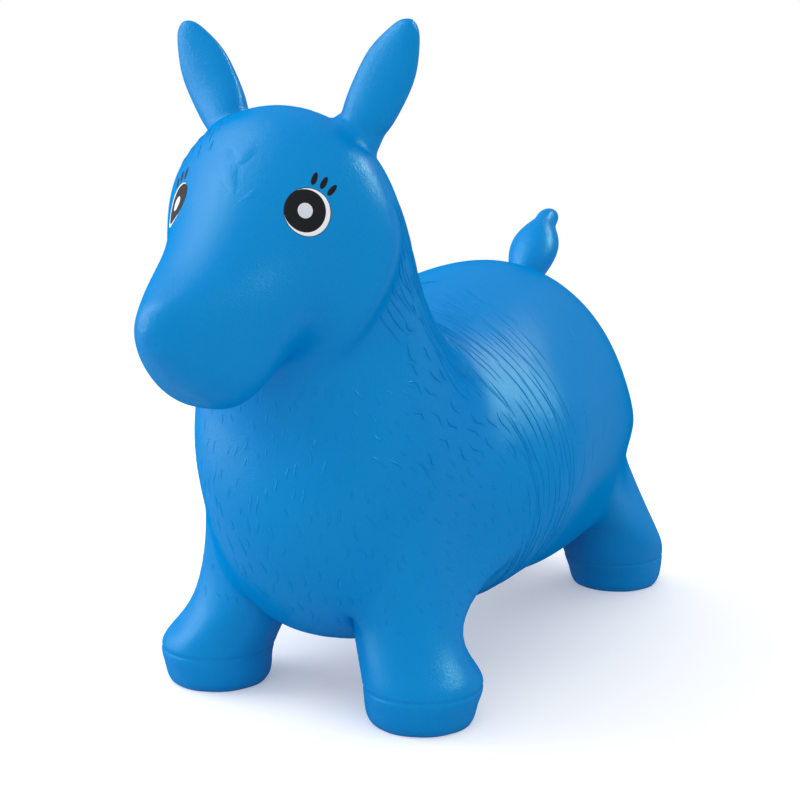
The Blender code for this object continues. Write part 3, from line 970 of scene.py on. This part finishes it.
@dataclass
class MouldedHair:
    """Raised strokes of moulded hair that follow the flow of the coat."""

    surface: Surface
    finish: GrainFinish
    stations: int = 9
    sides: int = 6
    sunk: float = 0.45
    seed: int = 11
    lowest: float = 72
    highest: float = 352
    far_eye: Point = (-EYE_POINT[0], *EYE_POINT[1:])
    eye_clearing: float = 45
    tried: int = 5
    coat_ends: Pair = (-178, 105)
    temple_floor: float = 372
    temple_inside: float = 28
    temple_rear: float = -146
    mane_floor: float = 232
    mane_rear: float = 8
    mane_lean: float = 0.12
    flank_front: float = -32
    shoulder_floor: float = 182
    shoulder_front: float = -126
    chest_top: float = 236
    neck_end: Pair = (-75, -8)
    spread_start: Pair = (-60, -10)
    chest_end: Pair = (-165, -140)
    belly_turn: Pair = (150, 75)
    lengths: Pair = (0.6, 1.25)
    sways: Pair = (0.5, 1.2)
    strengths: Pair = (0.65, 1.15)
    stroke_ends: Pair = (0.02, 0.98)
    bluntness: float = 0.6
    level: float = 0.01

    def build(self) -> list[Piece]:
        """Lay the strokes of each zone of the coat.

        Returns:
            One object for each zone.
        """
        dice = random.Random(self.seed)
        stamp = self.stamp()
        seeds = self.seeds(dice)
        pieces = []
        for coat in Coat:
            bm = bmesh.new()
            for start in (point for kind, point in seeds if kind is coat):
                self.lay(bm, stamp, start, coat.value, dice)
            pieces.append(link_object(f"hair_{coat.name.lower()}", bm, self.finish.material()))
        bpy.data.meshes.remove(stamp)
        return pieces

    def stamp(self) -> bpy.types.Mesh:
        """Return one straight round stroke of unit length and radius, along Z.

        Returns:
            The stroke's mesh, which the caller removes.
        """
        bm = bmesh.new()
        bmesh.ops.create_cone(bm, cap_ends=True, segments=self.sides, radius1=1, radius2=1, depth=1)
        long_edges = [edge for edge in bm.edges if abs(edge.verts[0].co.z - edge.verts[1].co.z) > 0.5]
        bmesh.ops.subdivide_edges(bm, edges=long_edges, cuts=self.stations - 1, use_grid_fill=True)
        bmesh.ops.translate(bm, vec=(0, 0, 0.5), verts=bm.verts)
        mesh = bpy.data.meshes.new("stroke_stamp")
        bm.to_mesh(mesh)
        bm.free()
        return mesh

    def zone(self, point: Vector) -> Coat | None:
        """Find the coat's zone at a point of the skin.

        Args:
            point: A point on the skin.

        Returns:
            The zone, or None where the skin has no moulded hair.
        """
        x, y, z = abs(point.x) / MM, point.y / MM, point.z / MM
        if z > self.temple_floor and point.x < -self.temple_inside * MM and y < self.temple_rear:
            clear = (point - millimetres(*self.far_eye)).length > self.eye_clearing * MM
            return Coat.TEMPLE if clear else None
        front, rear = self.coat_ends
        if not self.lowest < z < self.highest or not front < y < rear:
            return None
        normal = self.surface.nearest(point)[1]
        if z > self.mane_floor and y < self.mane_rear and normal.y > self.mane_lean:
            return Coat.MANE
        if y > self.flank_front:
            return Coat.FLANK if y < self.flank_edge(x, z) else Coat.BARREL
        if z > self.shoulder_floor and y > self.shoulder_front:
            return Coat.SHOULDER
        return Coat.CHEST if z < self.chest_top else None

    def flank_edge(self, x: float, z: float) -> float:
        """Find how far back the flank's hair reaches.

        Args:
            x: Distance from the middle, in millimetres.
            z: Height, in millimetres.

        Returns:
            The ragged edge's place along the body, further back near the saddle.
        """
        lean = 0.17 * max(0, z - 175)
        flare = 0.02 * max(0, z - 222) ** 2
        ragged = 5 * sin(1.7 * x + 2.3 * z)
        return 12 + lean + flare + ragged

    def seeds(self, dice: random.Random) -> list[tuple[Coat, Vector]]:
        """Scatter the strokes' starts over the skin, no closer than each zone's spacing.

        Args:
            dice: Source of the order in which the skin's points are tried.

        Returns:
            The zone and the start of each stroke.
        """
        points = list(self.surface.spots)
        dice.shuffle(points)
        taken: dict[tuple, list[tuple[Vector, Vector]]] = {}
        found = []
        for point in points[: len(points) // self.tried]:
            coat = self.zone(point)
            if coat is None:
                continue
            beside, ahead = coat.value.spacing * MM, coat.value.stagger * MM
            reach = max(beside, ahead)
            cell = tuple(floor(value / reach) for value in point)
            near = (
                other
                for x in (-1, 0, 1) for y in (-1, 0, 1) for z in (-1, 0, 1)
                for other in taken.get((coat, cell[0] + x, cell[1] + y, cell[2] + z), [])
            )
            if all(self.apart(point - other, way, beside, ahead) for other, way in near):
                way = self.flow(point, self.surface.nearest(point)[1])
                taken.setdefault((coat, *cell), []).append((point, way))
                found.append((coat, point))
        return found

    def apart(self, gap: Vector, way: Vector, beside: float, ahead: float) -> bool:
        """Tell if a gap clears the oval around a stroke that runs a given way."""
        run = gap.dot(way)
        return (gap.length_squared - run * run) / beside**2 + run * run / ahead**2 > 1

    def flow(self, point: Vector, normal: Vector) -> Vector:
        """Find the way the hair lies: back down the neck, straight down chest and barrel.

        Args:
            point: A point on the skin.
            normal: The skin's normal there.

        Returns:
            The way along the skin.
        """
        side = 1 if point.x >= 0 else -1
        y = point.y / MM
        rearward = 0.9 * (1 - smoothstep(*self.neck_end, y)) + 0.05 - max(0, y + 5) / 120
        face = 1 - smoothstep(*self.chest_end, y)
        turn, soft = self.belly_turn
        round_belly = min(max((point.z / MM - turn) / soft, -1.0), 1.0)
        spread = 0.5 + 0.4 * smoothstep(*self.spread_start, y)
        neck = Vector((side * spread * round_belly, rearward, -1))
        chest = Vector((0.12 * side * round_belly, -0.1, -1))
        temple = Vector((-0.05 * side, -0.9, -0.42))
        way = temple if point.z / MM > self.highest else neck.lerp(chest, face)
        return (way - normal * way.dot(normal)).normalized()

    def trace(
        self, start: Vector, style: StrokeStyle, dice: random.Random
    ) -> list[tuple[Vector, Vector, Vector]]:
        """Follow the coat's flow from a point.

        Args:
            start: Where the stroke begins.
            style: The look of the stroke.
            dice: Source of the small differences between strokes.

        Returns:
            The skin's point, its normal and the stroke's side at each station.
        """
        length = style.length * MM * dice.uniform(*self.lengths)
        phase = dice.uniform(0, 2 * pi)
        drift = dice.uniform(-style.stray, style.stray)
        sway = style.sway * dice.uniform(*self.sways)
        spots = []
        spot, normal = self.surface.nearest(start)
        for station in range(self.stations + 1):
            heading = self.flow(spot, normal)
            beside = normal.cross(heading)
            turn = drift + sway * sin(phase + 2 * pi * station / self.stations)
            ahead = (heading + beside * turn).normalized()
            spots.append((spot, normal, normal.cross(ahead)))
            spot, normal = self.surface.nearest(spot + ahead * length / self.stations)
        return spots

    def lay(
        self, bm: BMesh, stamp: bpy.types.Mesh, start: Vector, style: StrokeStyle, dice: random.Random
    ) -> None:
        """Add one stroke to a mesh and bend it along the coat's flow.

        Args:
            bm: The mesh of the stroke's zone.
            stamp: A straight stroke.
            start: Where the stroke begins.
            style: The look of the stroke.
            dice: Source of the small differences between strokes.
        """
        low, high = self.stroke_ends
        spots = self.trace(start, style, dice)
        strength = dice.uniform(*self.strengths)
        first = len(bm.verts)
        bm.from_mesh(stamp)
        bm.verts.ensure_lookup_table()
        for vert in bm.verts[first:]:
            across, up, along = vert.co
            spot, normal, beside = spots[round(along * self.stations)]
            swell = sin(pi * min(max(along, low), high)) ** self.bluntness
            rise = style.height * strength * swell - self.sunk * (1 - swell)
            height = rise * up if up > 0 else self.sunk * up
            height = height if abs(up) > self.level else min(0.0, rise)
            vert.co = spot + beside * across * style.width / 2 * swell * MM + normal * height * MM

    def dress(self, pieces: list[Piece]) -> None:
        """Let the hair move with the trunk."""
        for piece in pieces:
            attach(piece, "trunk", "skin")


class LockForm(Enum):
    """The two forms of a lock: one runs out to a point, and the other ends in a round pad."""

    POINTED = auto()
    ROUND = auto()


@dataclass(frozen=True)
class Lock:
    """One lock of the forelock: its root and tip, width, height, form and the softness of its edges."""

    root: Point
    tip: Point
    width: float
    height: float
    form: LockForm
    edges: Pair


@dataclass
class Forelock:
    """The tuft on the forehead: a few locks that rise out of the skin, each wider on its lee side."""

    surface: Surface
    finish: GrainFinish
    centre: Point = (-2, -193, 370)
    out: Point = (0, -0.79, 0.61)
    reach: float = 32
    cells: int = 128
    sunk: float = 0.12
    thickness: float = 1.0
    lee: float = 1.5
    pad_start: float = 0.62
    pad_length: float = 0.38
    locks: tuple[Lock, ...] = (
        Lock((-16, -185, 379), (7.3, -208, 353), 21, 1.35, LockForm.POINTED, (0.7, 1.9)),
        Lock((23, -200, 359), (11, -209.4, 350), 9, 0.9, LockForm.POINTED, (0.8, 1.8)),
        Lock((3, -181, 387.5), (0.8, -194.5, 371.5), 12, 0.85, LockForm.ROUND, (0.8, 1.9)),
        Lock((-12.7, -184, 383), (-11.5, -193.6, 371), 9.5, 0.7, LockForm.ROUND, (0.8, 1.9)),
    )

    def build(self) -> Piece:
        """Lay a fine net on the forehead and raise the locks in it.

        Returns:
            The forelock's object.
        """
        bm = bmesh.new()
        out = Vector(self.out).normalized()
        frame = Matrix((Vector((1, 0, 0)), out.cross(Vector((1, 0, 0))), out)).transposed().to_4x4()
        frame.translation = millimetres(*self.centre)
        bmesh.ops.create_grid(
            bm, x_segments=self.cells, y_segments=self.cells, size=self.reach * MM, matrix=frame
        )
        flat = set()
        for vert in bm.verts:
            spot, normal = self.surface.cast(vert.co + out * self.reach * MM, -out)
            rise = max(self.rise(lock, spot, out) for lock in self.locks)
            vert.co = spot + normal * (rise - self.sunk) * MM
            if rise <= 0:
                flat.add(vert)
        bare = [face for face in bm.faces if all(vert in flat for vert in face.verts)]
        bmesh.ops.delete(bm, geom=bare, context="FACES")
        bmesh.ops.solidify(bm, geom=bm.faces[:], thickness=self.thickness * MM)
        return link_object("forelock", bm, self.finish.material())

    def rise(self, lock: Lock, spot: Vector, out: Vector) -> float:
        """Find how far a lock stands off the skin at a point.

        Args:
            lock: The lock.
            spot: A point on the skin.
            out: The way out of the forehead.

        Returns:
            The height in millimetres.
        """
        root = millimetres(*lock.root)
        along = millimetres(*lock.tip) - root
        share = (spot - root).dot(along) / along.length_squared
        if not 0 < share < 1:
            return 0.0
        if lock.form is LockForm.POINTED:
            spread = (1 - share) ** 0.75
            swell = smoothstep(0.05, 0.6, share) * (0.1 + 0.9 * spread)
        else:
            pad = max(0.0, share - self.pad_start) / self.pad_length
            spread, swell = sqrt(1 - pad * pad), smoothstep(0.0, 0.75, share) * (1 - pad**4)
        beside = out.cross(along).normalized()
        across = (spot - root).dot(beside) / (lock.width / 2 * MM * max(spread, 0.01))
        if across > 0:
            across /= self.lee
        if abs(across) >= 1:
            return 0.0
        return lock.height * swell * (1 - across * across) ** lock.edges[int(across > 0)]

    def dress(self, tuft: Piece) -> None:
        """Let the forelock move with the trunk."""
        attach(tuft, "trunk", "skin")


@dataclass
class EyePrint:
    """A printed eye with three lashes, laid on the head as thin films."""

    side: Side
    surface: Surface
    point: Point = EYE_POINT
    axis: Point = (0.61, -0.71, 0.35)
    outline_radius: float = 14.5
    white_radius: float = 14.1
    white_shift: Pair = (1.3, -0.8)
    iris_radius: float = 12.9
    glint_radius: float = 4.7
    stretch: float = 1.065
    lash_angles: tuple[float, ...] = (19, 36, 54)
    lash_tilts: tuple[float, ...] = (22, 30, 41)
    lash_distance: float = 21.3
    lash_length: float = 8.6
    lash_width: float = 3.5
    lash_taper: float = 0.1
    round_sides: int = 72
    reach: float = 48
    sunk: float = 0.3
    rim_shares: tuple[float, ...] = (1.0, 0.965, 0.93, 0.8, 0.62, 0.42, 0.2)
    rim_lifts: Pair = (0.35, 0.8)
    outline_lift: float = 0.05
    white_lift: float = 0.10
    iris_lift: float = 0.18
    glint_lift: float = 0.26
    lash_lift: float = 0.12

    def frame(self) -> Matrix:
        """Return the eye's frame: X towards the ear side, Y up and Z out of the head.

        Returns:
            The frame, with its origin at the eye's middle.
        """
        flip = self.side.value
        out = Vector((self.axis[0] * flip, self.axis[1], self.axis[2])).normalized()
        rearward = UP.cross(out).normalized() * flip
        frame = Matrix((rearward, out.cross(rearward).normalized() * flip, out)).transposed().to_4x4()
        frame.translation = millimetres(self.point[0] * flip, self.point[1], self.point[2])
        return frame

    def circle(self, radius: float, centre: Pair = (0, 0)) -> list[Vector]:
        """Draw a round outline in the eye's plane, a little taller than wide.

        Args:
            radius: Its half width.
            centre: Its middle.

        Returns:
            The outline's points.
        """
        turns = (2 * pi * step / self.round_sides for step in range(self.round_sides))
        return [
            Vector((centre[0] + radius * cos(turn), centre[1] + radius * self.stretch * sin(turn)))
            for turn in turns
        ]

    def lash(self, angle: float, tilt: float) -> list[Vector]:
        """Draw one lash: a rounded drop beyond the eye's edge.

        Args:
            angle: Where it lies round the eye, in degrees from the top.
            tilt: How far it leans, in degrees.

        Returns:
            The outline's points.
        """
        away = Vector((sin(radians(angle)), cos(radians(angle))))
        along = Vector((sin(radians(tilt)), cos(radians(tilt))))
        across = Vector((along.y, -along.x))
        points = []
        for step in range(self.round_sides):
            phase = 2 * pi * step / self.round_sides
            half_width = self.lash_width / 2 * (1 - self.lash_taper * sin(phase))
            centre = away * self.lash_distance + along * self.lash_length / 2 * sin(phase)
            points.append(centre + across * half_width * cos(phase))
        return points

    def laid(self, flat: Vector, lift: float) -> Vector:
        """Lay a point of the eye's plane on the head.

        Args:
            flat: The point in the eye's plane.
            lift: Its height over the skin, in millimetres.

        Returns:
            The point in space.
        """
        frame = self.frame()
        start = frame @ millimetres(flat.x, flat.y, self.reach)
        spot, normal = self.surface.cast(start, -frame.col[2].xyz)
        return spot + normal * lift * MM

    def film(self, name: str, outline: list[Vector], lift: float, ink: GrainFinish) -> Piece:
        """Lay one printed patch on the head as a thin closed film with a soft rim.

        Args:
            name: The patch's name without the side.
            outline: Its outline in the eye's plane.
            lift: Its height over the skin, in millimetres.
            ink: Its finish.

        Returns:
            The film's object.
        """
        bm = bmesh.new()
        middle = sum(outline, Vector((0, 0))) / len(outline)
        rim = [lift * share for share in self.rim_lifts]
        heights = [-self.sunk, *rim] + [lift] * (len(self.rim_shares) - len(rim))
        loops = []
        for share, height in zip((1.0, *self.rim_shares), heights):
            loop = bmesh.ops.create_circle(bm, segments=len(outline), radius=1)["verts"]
            for vert, flat in zip(loop, outline):
                vert.co = self.laid(middle + (flat - middle) * share, height)
            loops.append(loop)
        loft(bm, loops)
        for ends in (loops[0], loops[-1]):
            cap(bm, ends)
        return link_object(f"{name}_{self.side.word}", bm, ink.material())

    def build(self) -> Iterator[tuple[Piece, str | None, str]]:
        """Yield each film with the node it stands for, if there is one, and its material slot.

        Yields:
            The film's object, the node or None, and the slot.
        """
        word = self.side.word
        discs = (
            ("outline", self.outline_radius, self.white_shift, self.outline_lift, BLACK_INK, "print_black"),
            ("white", self.white_radius, self.white_shift, self.white_lift, WHITE_INK, "print_white"),
            ("iris", self.iris_radius, (0, 0), self.iris_lift, BLACK_INK, "print_black"),
            ("glint", self.glint_radius, (0, 0), self.glint_lift, PALE_INK, "print_pale"),
        )
        for name, radius, centre, lift, ink, slot in discs:
            film = self.film(f"{name}_print", self.circle(radius, centre), lift, ink)
            yield film, None if name == "outline" else f"eye_{name}_{word}", slot
        for number, turn in enumerate(zip(self.lash_angles, self.lash_tilts), start=1):
            film = self.film(f"lash_print_{number}", self.lash(*turn), self.lash_lift, BLACK_INK)
            yield film, f"lash_{number}_{word}", "print_black"


@dataclass
class AirValve:
    """The valve under the belly: a thick collar in the skin and a push-in plug."""

    y: float = VALVE_Y
    bottom: float = 41.5
    sides: int = 64
    sharp_angle: float = 35
    edge_round: float = 0.22
    collar: tuple[Pair, ...] = (
        (5.5, 1.0), (6.3, 0.0), (9.6, 0.0), (9.9, -0.5), (12.6, -0.5), (13.0, 0.0), (13.0, 18.0), (5.5, 18.0),
    )
    plug: tuple[Pair, ...] = (
        (0, -1.7), (3.2, -1.7), (3.8, -2.5), (8.2, -2.5), (9.0, -1.7), (9.0, -0.3), (4.6, -0.3), (4.6, 3.0),
        (5.1, 4.0), (5.1, 5.0), (4.6, 6.0), (4.6, 7.0), (5.1, 8.0), (5.1, 9.0), (4.6, 10.0), (4.6, 12.0),
        (3.1, 14.0), (0, 14.0),
    )

    def turned(self, name: str, profile: tuple[Pair, ...], finish: GrainFinish) -> Piece:
        """Turn a profile around the valve's axis and round its edges.

        Args:
            name: The piece's name.
            profile: Points of radius and height.
            finish: The piece's finish.

        Returns:
            The piece's object.
        """
        bm = bmesh.new()
        verts = [bm.verts.new(millimetres(radius, self.y, self.bottom + height)) for radius, height in profile]
        edges = [bm.edges.new(pair) for pair in zip(verts, verts[1:])]
        if profile[0][0] > 0:
            edges.append(bm.edges.new((verts[-1], verts[0])))
        bmesh.ops.spin(
            bm, geom=verts + edges, cent=millimetres(0, self.y, 0), axis=(0, 0, 1), angle=2 * pi,
            steps=self.sides, use_merge=True,
        )
        bmesh.ops.remove_doubles(bm, verts=bm.verts, dist=SAME_POINT)
        bmesh.ops.dissolve_degenerate(bm, edges=bm.edges, dist=SAME_POINT)
        bm.normal_update()
        limit = radians(self.sharp_angle)
        sharp = [edge for edge in bm.edges if edge.is_manifold and edge.calc_face_angle() > limit]
        bmesh.ops.bevel(
            bm, geom=sharp, offset=self.edge_round * MM, offset_type="OFFSET", affect="EDGES",
            segments=2, profile=0.5, clamp_overlap=True, material=-1,
        )
        return link_object(name, bm, finish.material())

    def build(self) -> Iterator[tuple[Piece, str, str, str]]:
        """Yield each piece with its body, the node it stands for and its material slot."""
        yield self.turned("collar_ring", self.collar, VINYL), "trunk", "valve_collar", "skin"
        yield self.turned("plug_stopper", self.plug, PLUG_PLASTIC), "valve_plug", "valve_plug", "plug"


@dataclass(frozen=True)
class SoftBox:
    """A soft studio lamp that points at the horse: where it stands, its size, its power and its roll.

    A lamp for gloss alone shows in the vinyl's sheen and adds nothing to the plain light.
    """

    name: str
    place: Point
    size: Pair
    power: float
    roll: float = 0.0
    gloss_only: bool = False


@dataclass
class Studio:
    """The pale floor, the soft lamps and the camera."""

    azimuth: float = 29.9
    elevation: float = 11.33
    distance: float = 1277.3
    focal_pixels: float = 1759.3
    aim: Point = (2.55, 1.47, 190.7)
    image_pixels: int = 800
    sensor: float = 36.0
    floor_radius: float = 4.0
    floor_lift: float = 0.26
    floor_bounce: float = 0.68
    floor_paint: float = 0.875
    floor_roughness: float = 0.9
    floor_sides: int = 96
    fade_start: float = 0.6
    fade_end: float = 1.6
    boxes: tuple[SoftBox, ...] = (
        SoftBox("left_box", (-1.19, -0.41, 0.85), (1.1, 1.7), 13.0),
        SoftBox("left_sheen", (-1.19, -0.41, 0.85), (1.1, 1.7), 74.0, gloss_only=True),
        SoftBox("right_strip", (0.82, 0.48, 1.12), (0.18, 0.70), 22.0, roll=-26, gloss_only=True),
        SoftBox("rear_strip", (0.34, 0.70, 1.20), (0.6, 0.14), 12.0, roll=-26, gloss_only=True),
    )

    def build(self) -> None:
        """Set the stage."""
        self.lay_floor()
        self.light_world()
        for box in self.boxes:
            self.hang_box(box)
        self.place_camera()
        bpy.context.scene.view_settings.view_transform = "Standard"

    def lay_floor(self) -> None:
        """Lay a round pale floor that fades into the backdrop's brightness."""
        bm = bmesh.new()
        bmesh.ops.create_circle(
            bm, cap_ends=True, cap_tris=False, segments=self.floor_sides, radius=self.floor_radius
        )
        board = link_object("studio_floor", bm, self.floor_material())

    def seen(self, graph: Graph) -> Socket:
        """Tell rays that show the set to the eye or in a gloss from rays that light.

        Args:
            graph: The nodes to work in.

        Returns:
            1 for rays that show the set, and 0 for rays that light.
        """
        ray = graph.add("ShaderNodeLightPath").outputs
        shown = ray["Is Camera Ray"]
        for kind in ("Is Glossy Ray", "Is Transmission Ray"):
            shown = graph.add("ShaderNodeMath", {"operation": "MAXIMUM"}, shown, ray[kind]).outputs["Value"]
        return shown

    def floor_material(self) -> bpy.types.Material:
        """Mix the floor's pale matt paint, which throws little light up and fades far out into the white.

        Returns:
            The material.
        """
        material = bpy.data.materials.new("pale_floor")
        material.use_nodes = True
        nodes = material.node_tree.nodes
        graph = Graph(material.node_tree)
        place = graph.add("ShaderNodeTexCoord").outputs["Object"]
        shown = self.seen(graph)
        looks = {
            "Base Color": graph.blend_colour(shown, (self.floor_bounce,) * 3, (self.floor_paint,) * 3),
            "Roughness": self.floor_roughness,
            "Specular IOR Level": 0.0,
            "Emission Color": (1, 1, 1, 1),
            "Emission Strength": graph.spread(shown, 0.0, self.floor_lift),
        }
        shader = nodes["Principled BSDF"]
        for name, value in looks.items():
            graph.feed(shader.inputs[name], value)
        far = graph.add("ShaderNodeVectorMath", {"operation": "LENGTH"}, place).outputs["Value"]
        fade = graph.add(
            "ShaderNodeMapRange", {"interpolation_type": "SMOOTHSTEP"},
            Value=far, From_Min=self.fade_start, From_Max=self.fade_end,
        ).outputs["Result"]
        glow = graph.add("ShaderNodeEmission", Strength=graph.spread(shown, self.floor_bounce, 1.0))
        mix = graph.add("ShaderNodeMixShader", None, fade, shader.outputs[0], glow.outputs[0])
        graph.feed(nodes["Material Output"].inputs["Surface"], mix.outputs[0])
        return material

    def light_world(self) -> None:
        """Surround the set with even light that is seen as white."""
        world = bpy.data.worlds.new("studio_air")
        world.use_nodes = True
        back = world.node_tree.nodes["Background"]
        back.inputs["Color"].default_value = (1, 1, 1, 1)
        back.inputs["Strength"].default_value = 1.0
        bpy.context.scene.world = world

    def hang_box(self, box: SoftBox) -> None:
        """Hang one soft box that faces the horse.

        Args:
            box: The lamp's measures.
        """
        lamp = bpy.data.lights.new(box.name, "AREA")
        lamp.shape = "RECTANGLE"
        lamp.size, lamp.size_y = box.size
        lamp.energy = box.power
        obj = bpy.data.objects.new(box.name, lamp)
        obj.location = box.place
        toward = millimetres(*self.aim) - obj.location
        turn = toward.to_track_quat("-Z", "Y") @ Quaternion((0, 0, 1), radians(box.roll))
        obj.rotation_euler = turn.to_euler()
        obj.visible_diffuse = not box.gloss_only
        bpy.context.scene.collection.objects.link(obj)

    def place_camera(self) -> None:
        """Stand the camera at the photograph's viewing angle."""
        turn, tilt = radians(self.azimuth), radians(self.elevation)
        back = Vector((sin(turn) * cos(tilt), -cos(turn) * cos(tilt), sin(tilt)))
        data = bpy.data.cameras.new("camera")
        data.sensor_width = self.sensor
        data.lens = self.focal_pixels / self.image_pixels * self.sensor
        camera = bpy.data.objects.new("camera", data)
        camera.location = millimetres(*self.aim) + back * self.distance * MM
        camera.rotation_euler = (-back).to_track_quat("-Z", "Y").to_euler()
        bpy.context.scene.collection.objects.link(camera)
        bpy.context.scene.camera = camera


def main() -> None:
    """Dress the horse, piece by piece."""
    logging.basicConfig(level=logging.INFO, format="%(message)s")
    for old in list(bpy.data.objects):
        bpy.data.objects.remove(old, do_unlink=True)
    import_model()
    Studio().build()
    moulding = MouldedSkin(VINYL)
    skin = moulding.build()
    hair = MouldedHair(moulding.surface, VINYL)
    hair_pieces = hair.build()
    hair.dress(hair_pieces)
    moulding.dress(skin)
    log.info("skin and %d zones of moulded hair", len(hair_pieces))
    tuft = Forelock(moulding.surface, VINYL)
    tuft.dress(tuft.build())
    log.info("forelock of %d locks", len(tuft.locks))
    for limb in (*(make_ear(side, moulding.surface) for side in Side), make_tail(moulding.surface)):
        limb.dress(limb.build())
        log.info("limb %s", limb.name)
    for side in Side:
        for film, node, slot in EyePrint(side, moulding.surface).build():
            attach(film, "trunk", slot, node)
            log.info("film %s", film.name)
    for piece, body, node, slot in AirValve().build():
        attach(piece, body, slot, node)
        log.info("valve piece %s", piece.name)


if __name__ == "__main__":
    main()
